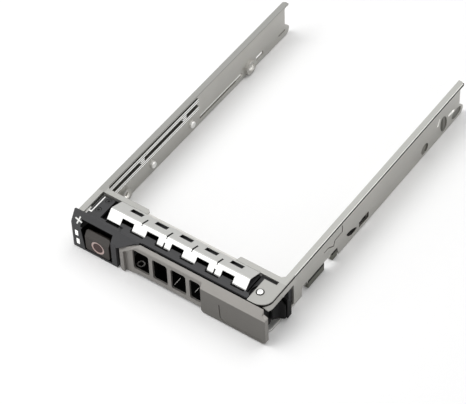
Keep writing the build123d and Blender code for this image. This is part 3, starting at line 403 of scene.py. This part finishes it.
def new_material(name, colour, roughness, metallic=0.0, grain=1500.0, stretch=(1, 1, 1), bump=0.05, patch=0.08,
                 edge=0.12, specular=0.5):
    """A finish with grain, soft patches and rounded edges."""
    spread = 0.08
    material = bpy.data.materials.new(name)
    material.use_nodes = True
    nodes, links = material.node_tree.nodes, material.node_tree.links
    shader = nodes["Principled BSDF"]
    shader.inputs["Metallic"].default_value = metallic
    shader.inputs["Specular IOR Level"].default_value = specular
    texture = use_group(material, grain_group, Scale=grain, Stretch=stretch)
    shade = nodes.new("ShaderNodeMapRange")
    shade.inputs["To Min"].default_value = 1.0 - patch
    shade.inputs["To Max"].default_value = 1.0 + patch
    links.new(texture["Patches"], shade.inputs["Value"])
    tint = nodes.new("ShaderNodeVectorMath")
    tint.operation = "SCALE"
    tint.inputs[0].default_value = colour
    links.new(shade.outputs["Result"], tint.inputs["Scale"])
    links.new(tint.outputs["Vector"], shader.inputs["Base Color"])
    rough = nodes.new("ShaderNodeMapRange")
    rough.inputs["To Min"].default_value = max(roughness - spread, 0.02)
    rough.inputs["To Max"].default_value = min(roughness + spread, 1.0)
    links.new(texture["Height"], rough.inputs["Value"])
    links.new(rough.outputs["Result"], shader.inputs["Roughness"])
    rounded = nodes.new("ShaderNodeBevel")
    rounded.samples = 4
    rounded.inputs["Radius"].default_value = edge * MM
    relief = nodes.new("ShaderNodeBump")
    relief.inputs["Strength"].default_value = bump
    relief.inputs["Distance"].default_value = 0.1 * MM
    links.new(texture["Height"], relief.inputs["Height"])
    links.new(rounded.outputs["Normal"], relief.inputs["Normal"])
    links.new(relief.outputs["Normal"], shader.inputs["Normal"])
    return material


def tint_where(material, mask, colour):
    """Changes a finish's colour where a mask is 1."""
    tree = material.node_tree
    base = tree.nodes["Principled BSDF"].inputs["Base Color"]
    tree.links.new(mix_colours(tree, mask, base.links[0].from_socket, (*colour, 1)), base)


def tint_box(material, low, high, colour):
    tint_where(material, box_mask(material, low, high), colour)


def tint_ring(material, centre, inner, outer, across, colour):
    tint_where(material, ring_mask(material, centre, inner, outer, across), colour)


def blacken_box(material, low, high):
    """Deep shade in a gap: black without the plastic's sheen."""
    mask = box_mask(material, low, high)
    tint_where(material, mask, gap_black)
    tree = material.node_tree
    metallic = tree.nodes["Principled BSDF"].inputs["Metallic"]
    before = metallic.links[0].from_socket if metallic.links else metallic.default_value
    tree.links.new(math_node(tree, "MAXIMUM", before, mask), metallic)


# Finishes

def make_plated_steel():
    """Plated sheet with a satin rolled grain, with painted shade on its top and in its folds and openings, and
    painted highlights on some edges, slits, dimples and the lower hinge plate.
    """
    steel = new_material("plated_steel", (0.56, 0.55, 0.52), 0.42, metallic=0.8, grain=900, stretch=(1, 0.15, 1),
                         bump=0.1)
    # Top sheet: painted shade that makes it darker than the webs, and darker still on the hinge plate and behind it
    tint_box(steel, (None, None, top_sheet_z), open_side, (0.4, 0.398, 0.378))
    tint_box(steel, (hinge_plate_x, None, top_sheet_z), (None, crease_y, None), (0.355, 0.353, 0.335))
    tint_box(steel, (None, crease_y, top_sheet_z), (left_flange_x, None, None), (0.33, 0.328, 0.312))
    # Right rail's lit edges above and below the seam
    tint_box(steel, (side_x - 0.16, claw_window_y, seam_z[1]), open_side, lit_edge)
    tint_box(steel, (web_out + 0.1, claw_window_y, lip_z), (None, None, seam_z[0]), lit_edge)
    # Painted shade line in the seam under the top sheet, along both rails and round the hinge corner
    seams = (
        ((None, None), (-web_out, None)),
        ((web_out, None), (None, None)),
        ((hinge_plate_x, None), (None, crease_y - 0.6)),
    )
    for low, high in seams:
        tint_box(steel, (*low, seam_z[0]), (*high, seam_z[1]), deep_shade)
    # Painted shade on the cut edges of the openings in both webs, greyer towards the rear
    webs = (
        (-web_out + cut_margin, -web_in - cut_margin),
        (web_in + cut_margin, web_out - cut_margin),
    )
    for low_x, high_x in webs:
        tint_box(steel, (low_x, claw_window_y + 0.1, web_low_z), (high_x, rear_seats_y, seam_z[0]), web_shade)
        tint_box(steel, (low_x, rear_seats_y, web_low_z), (high_x, rail_end_y, seam_z[0]), rear_web_shade)
    # Painted shade on the seats in the right web's pressings, painted highlights in its rear slits and painted shade
    # on the ramp
    for low, high in seat_shadows:
        tint_box(steel, (web_in, *low), (web_out - cut_margin, *high), web_shade)
    for low, high in rear_slits:
        tint_box(steel, (web_in - hair, *low), (web_out - hair, *high), painted_highlight)
    tint_box(steel, (right_rail_x, *ramp[0]), (web_in - hair, *ramp[1]), deep_shade)
    # Painted light on the lower hinge plate, painted shade in the hole round the pin, and painted highlights on the
    # left rail's dimples
    tint_box(steel, (floor_plate_x, front_y, 0.5), (None, crease_y, hinge_plate_top_z), painted_highlight)
    tint_ring(steel, (pin_x, pin_y, 0), 1.1, 1.5, seen_from_above, deep_shade)
    for y in dimple_y:
        left_rail = box_mask(steel, open_side, (left_rail_x, None, None))
        dimple = ring_mask(steel, (0, y, dimple_z), 0, dimple_radius, seen_from_side)
        tint_where(steel, both(steel, left_rail, dimple), painted_highlight)
    return steel


def make_shield_steel():
    """Thin bright sheet, with painted shade that makes it greyer behind its crest, and painted shade in the slits
    between the fingers.
    """
    steel = new_material("shield_steel", (0.86, 0.86, 0.84), 0.32, metallic=0.9, grain=1200, stretch=(0.3, 1, 1),
                         patch=0.03, edge=0.06)
    # Painted shade behind the crest and in the slits
    tint_box(steel, (None, crest_y, None), open_side, (0.56, 0.56, 0.54))
    for k in range(1, finger_count - 1):
        x = first_finger_x + k * finger_pitch
        tint_box(steel, (x - slit_half, crest_y, None), (x + slit_half, crest_y + slit_length, None), slit_shade)
        if k % 2 == 0:
            tint_box(steel, (x - front_slit_half, None, None), (x + front_slit_half, front_slit_y, front_slit_z),
                     slit_shade)
    return steel


def make_dark_plastic():
    """Moulded plastic; the gaps round the shield, the button and the handle are in deep shade."""
    plastic = new_material("dark_plastic", (0.042, 0.042, 0.044), 0.55, grain=1800, bump=0.1, specular=0.35)
    # Painted shade beside the hinge plate, a little short of black
    tint_box(plastic, *beside_hinge_plate, (0.016, 0.016, 0.016))
    for gap in (under_shield, round_button, behind_handle, behind_windows, beside_shield):
        blacken_box(plastic, *gap)
    # Painted deep shade under each spring finger
    for k in range(finger_count):
        x = first_finger_x + k * finger_pitch
        blacken_box(plastic, (x - finger_half, brow_back_y - 0.6, 14.0), (x + finger_half, brow_back_y + 0.7, 15.9))
    # Painted glints on the floor behind the windows: bright lines and a ring
    for x, glint_front_y in floor_glints:
        tint_box(plastic, (x - glint_half, glint_front_y, 0.3), (x + glint_half, glint_end_y, floor_top_z), (0.9, 0.88, 0.84))
    floor_level = box_mask(plastic, open_side, (None, None, floor_top_z))
    glint_ring = ring_mask(plastic, glint_ring_place, *glint_ring_radii, seen_from_above)
    tint_where(plastic, both(plastic, floor_level, glint_ring), (0.5, 0.49, 0.47))
    return plastic


def make_clear_plastic():
    """Light pipe: bright moulding painted with a faint glow, with fine painted shade lines along its bars, and the
    two front faces painted white with a stronger glow.
    """
    clear = new_material("clear_plastic", (0.93, 0.93, 0.91), 0.15, grain=400, bump=0.02, patch=0.03)
    # Painted shade lines along the bars, and the two front faces painted white
    bars = box_mask(clear, (None, bars_y, bars_z), (bars_x, None, None))
    shade_lines = both(clear, bars, line_mask(clear, shade_line_pitch, shade_line_start, shade_line_share))
    tint_where(clear, shade_lines, (0.06, 0.058, 0.05))
    lights = box_mask(clear, (None, front_y, None), (None, front_y + 0.6, None))
    tint_where(clear, lights, (0.95, 0.95, 0.93))
    tree = clear.node_tree
    shader = tree.nodes["Principled BSDF"]
    # Painted glow: faint on the whole pipe, strong on the front faces, none on the shade lines
    glow = mix_colours(tree, lights, (0.35, 0.35, 0.34, 1), (1, 1, 0.98, 1))
    tree.links.new(mix_colours(tree, shade_lines, glow, grey(0)), shader.inputs["Emission Color"])
    shader.inputs["Emission Strength"].default_value = 0.45
    return clear


def make_grey_plastic():
    """Metallic paint on the handle; its upright front has painted shade that makes it darker than the bevels."""
    paint = new_material("grey_plastic", (0.3, 0.287, 0.27), 0.42, metallic=0.65, grain=1800, bump=0.08)
    # Painted shade on the upright front
    tint_box(paint, (-17.9, None, None), (None, front_y + 0.07, None), (0.18, 0.172, 0.16))
    return paint


def make_shade_pads():
    """Olive rubber, with painted shade that makes it nearly black along its upper edge and towards the rear."""
    rubber = new_material("shade_pads", (0.15, 0.15, 0.128), 0.6, grain=900, bump=0.12, patch=0.3, specular=0.25)
    tint_box(rubber, (None, None, tab_z - 1.3), open_side, (0.012, 0.012, 0.01))
    tint_box(rubber, (None, -18.0, None), open_side, (0.006, 0.006, 0.006))
    return rubber


def make_button_red():
    """Dark red button with a pale ring round its darker middle."""
    red = new_material("button_red", (0.04, 0.034, 0.03), 0.42, bump=0.06, specular=0.35)
    centre = (ring_x, 0, ring_z)
    tint_ring(red, centre, 0, ring_inner, seen_from_front, (0.052, 0.024, 0.022))
    tint_ring(red, centre, ring_inner, ring_outer, seen_from_front, (0.6, 0.47, 0.44))
    return red


def make_screw_steel():
    """Dark screws; the deck's two have painted shade in their sockets."""
    steel = new_material("screw_steel", (0.05, 0.05, 0.05), 0.4, metallic=0.6)
    for x, y in deck_screws:
        tint_ring(steel, (x, y, 0), 0, socket_shade, seen_from_above, (0.003, 0.003, 0.003))
    return steel


def dress(finish, *names):
    """Gives nodes of the frame their finish."""
    for name in names:
        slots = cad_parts[name].data.materials
        slots.clear()
        slots.append(finish)


# Small pieces

def start_block(name, low, high):
    """A block between two corners in millimetres, ready to be shaped."""
    bpy.ops.object.select_all(action="DESELECT")
    middle = [(a + b) / 2 * MM for a, b in zip(low, high)]
    bpy.ops.mesh.primitive_cube_add(size=1.0, location=middle)
    piece = bpy.context.object
    piece.name = name
    piece.scale = [(b - a) * MM for a, b in zip(low, high)]
    bpy.ops.object.transform_apply(location=True, rotation=True, scale=True)
    return piece


def pick(piece, kind, chosen):
    """Selects the faces or vertices that a test of their place in millimetres and their normal accepts."""
    bpy.ops.object.mode_set(mode="EDIT")
    bpy.ops.mesh.select_mode(type=kind)
    bpy.ops.mesh.select_all(action="DESELECT")
    shape = bmesh.from_edit_mesh(piece.data)
    if kind == "FACE":
        for face in shape.faces:
            face.select_set(chosen(face.calc_center_median() / MM, face.normal))
    else:
        for vert in shape.verts:
            vert.select_set(chosen(vert.co / MM, vert.normal))
    shape.select_flush_mode()
    bmesh.update_edit_mesh(piece.data)


def push(offset):
    """Extrudes what is selected."""
    bpy.ops.mesh.extrude_region_move(TRANSFORM_OT_translate={"value": [v * MM for v in offset]})


def shift(offset):
    """Moves what is selected."""
    bpy.ops.transform.translate(value=[v * MM for v in offset])


def raise_face(piece, way, rim, rise):
    """Leaves a rim round the face that looks one way, and pushes the rest of it out."""
    pick(piece, "FACE", lambda place, normal: normal.dot(way) > 0.9)
    bpy.ops.mesh.inset(thickness=rim * MM)
    push([part * rise for part in way])


def cut_across(piece, point, direction):
    """Adds edges where a plane crosses the piece."""
    pick(piece, "FACE", lambda place, normal: True)
    bpy.ops.mesh.bisect(plane_co=[v * MM for v in point], plane_no=direction)


def finish_piece(piece, material, body, edge=0.15, segments=2):
    """Rounds the edges, gives the finish and names what the piece rides on."""
    bpy.ops.object.mode_set(mode="OBJECT")
    round_edges = piece.modifiers.new("round_edges", "BEVEL")
    round_edges.width = edge * MM
    round_edges.segments = segments
    round_edges.limit_method = "ANGLE"
    bpy.context.view_layer.objects.active = piece
    bpy.ops.object.modifier_apply(modifier=round_edges.name)
    bpy.ops.object.shade_smooth_by_angle(angle=math.radians(35))
    piece.data.materials.clear()
    piece.data.materials.append(material)
    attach(piece, body)


def make_front_mark(material):
    """Plain four-armed mark that lies on the bezel's slope."""
    half, arm, height, depth = 0.27, 1.25, 0.14, 0.1
    mark = start_block("front_mark", (-half, -half, -depth), (half, half, height))
    for way in ((1, 0), (-1, 0), (0, 1), (0, -1)):
        pick(mark, "FACE", lambda place, normal: (place.xy - Vector(way) * half).length < 0.01)
        push((way[0] * arm, way[1] * arm, 0))
    bpy.ops.object.mode_set(mode="OBJECT")
    lean = math.atan2(slope_height, slope_depth)
    share = mark_up_slope / math.hypot(slope_height, slope_depth)
    place = Vector((mark_x, front_y + slope_depth * share, slope_bottom + slope_height * share)) * MM
    turn = Matrix.Rotation(lean, 4, "X") @ Matrix.Rotation(math.radians(mark_turn), 4, "Z")
    mark.data.transform(Matrix.Translation(place) @ turn)
    finish_piece(mark, material, "carrier", edge=0.06)


def make_deck_tongue(material):
    """Tongue at the back of the bezel's arm that closes the slot beside the hinge plate."""
    tongue = start_block("deck_tongue", (29.2, crease_y - 0.35, 13.6), (36.4, crease_y + 0.6, 14.65))
    raise_face(tongue, (0, 1, 0), rim=0.25, rise=0.5)
    finish_piece(tongue, material, "carrier")


def make_claw_shroud(material):
    """Rounded guard on the lever that fills the space between its hub and the claw's tooth."""
    root_y, split_y = pin_y + 0.1, crease_y - 3.2
    shroud = start_block("claw_shroud", (36.75, root_y, 1.25), (38.1, crease_y - 1.6, 10.3))
    cut_across(shroud, (0, split_y, 0), (0, 1, 0))
    pick(shroud, "FACE", lambda place, normal: normal.x > 0.9 and place.y > split_y + 0.1)
    push((1.95, 0, 0))
    # The outer part's front edge goes back and its top comes down
    pick(shroud, "VERT", lambda place, normal: place.x > side_x and place.y < split_y + 0.1)
    shift((0, 0.9, 0))
    pick(shroud, "VERT", lambda place, normal: place.x > side_x and place.z > 9)
    shift((0, 0, -2.4))
    # The root's lower edge goes up
    pick(shroud, "VERT", lambda place, normal: place.y < root_y + 0.1 and place.z < 2)
    shift((0, 0, 3.0))
    finish_piece(shroud, material, "handle", edge=0.5, segments=3)


def make_claw_stop(material):
    """Block behind the claw's window, on the inside of the right rail."""
    stop = start_block("claw_stop", (35.6, claw_window_y - 1.9, 0.95), (web_in - 0.04, claw_window_y + 2.1, 8.6))
    raise_face(stop, (0, 0, 1), rim=0.3, rise=0.9)
    finish_piece(stop, material, "carrier", edge=0.25)


def make_tab_shade_pads(material):
    """Dark pads that cover the two bent tabs under the right rail's edge; their dark stands in for the shade on the
    tabs.
    """
    margin = 0.05
    for name, (start, end) in zip(("tab_shade_pad_front", "tab_shade_pad_rear"), bent_tabs):
        pad = start_block(name, (37.1, start + margin, 0.15), (web_out - hair, end - margin, tab_z - margin))
        raise_face(pad, (-1, 0, 0), rim=0.2, rise=0.25)
        finish_piece(pad, material, "carrier", edge=0.3, segments=3)


def make_rail_shade_backing(material):
    """Black sheet on the right rail's inner side, put there as painted shade that shows through the lens and the
    ramped slot.
    """
    foot_z = 1.15
    pad = start_block("rail_shade_backing", (37.0, -12.9, 0.2), (web_in - 0.04, -4.35, 6.0))
    cut_across(pad, (0, 0, foot_z), (0, 0, 1))
    pick(pad, "FACE", lambda place, normal: normal.y > 0.9 and place.z < foot_z)
    push((0, 7.6, 0))
    finish_piece(pad, material, "carrier", edge=0.12)


place_camera()
light_studio()
lay_floor()

dark_plastic = make_dark_plastic()
shade_pads = make_shade_pads()
black_metal = new_material("black_metal", (0.007, 0.007, 0.007), 0.55, bump=0.1, specular=0.12)
mark_white = new_material("mark_white", (0.9, 0.9, 0.88), 0.5, bump=0.03, patch=0.03)
pin_steel = new_material("pin_steel", (0.9, 0.9, 0.89), 0.18, metallic=1.0, bump=0.03)
spring_wire = new_material("spring_wire", (0.6, 0.6, 0.58), 0.3, metallic=1.0, bump=0.03)

dress(make_plated_steel(), "frame")
dress(make_shield_steel(), "emi_shield")
dress(dark_plastic, "bezel", "latch_slider", "latch_retainer")
dress(make_clear_plastic(), "light_pipe")
dress(make_button_red(), "release_button")
dress(make_grey_plastic(), "handle_cover")
dress(black_metal, "handle_lever")
dress(make_screw_steel(), "bezel_screws", "handle_screws", "hinge_washer")
dress(pin_steel, "hinge_pin")
dress(spring_wire, "hinge_clip", "button_spring", "latch_spring", "handle_spring")

make_front_mark(mark_white)
make_deck_tongue(dark_plastic)
make_claw_shroud(black_metal)
make_claw_stop(dark_plastic)
make_tab_shade_pads(shade_pads)
make_rail_shade_backing(shade_pads)
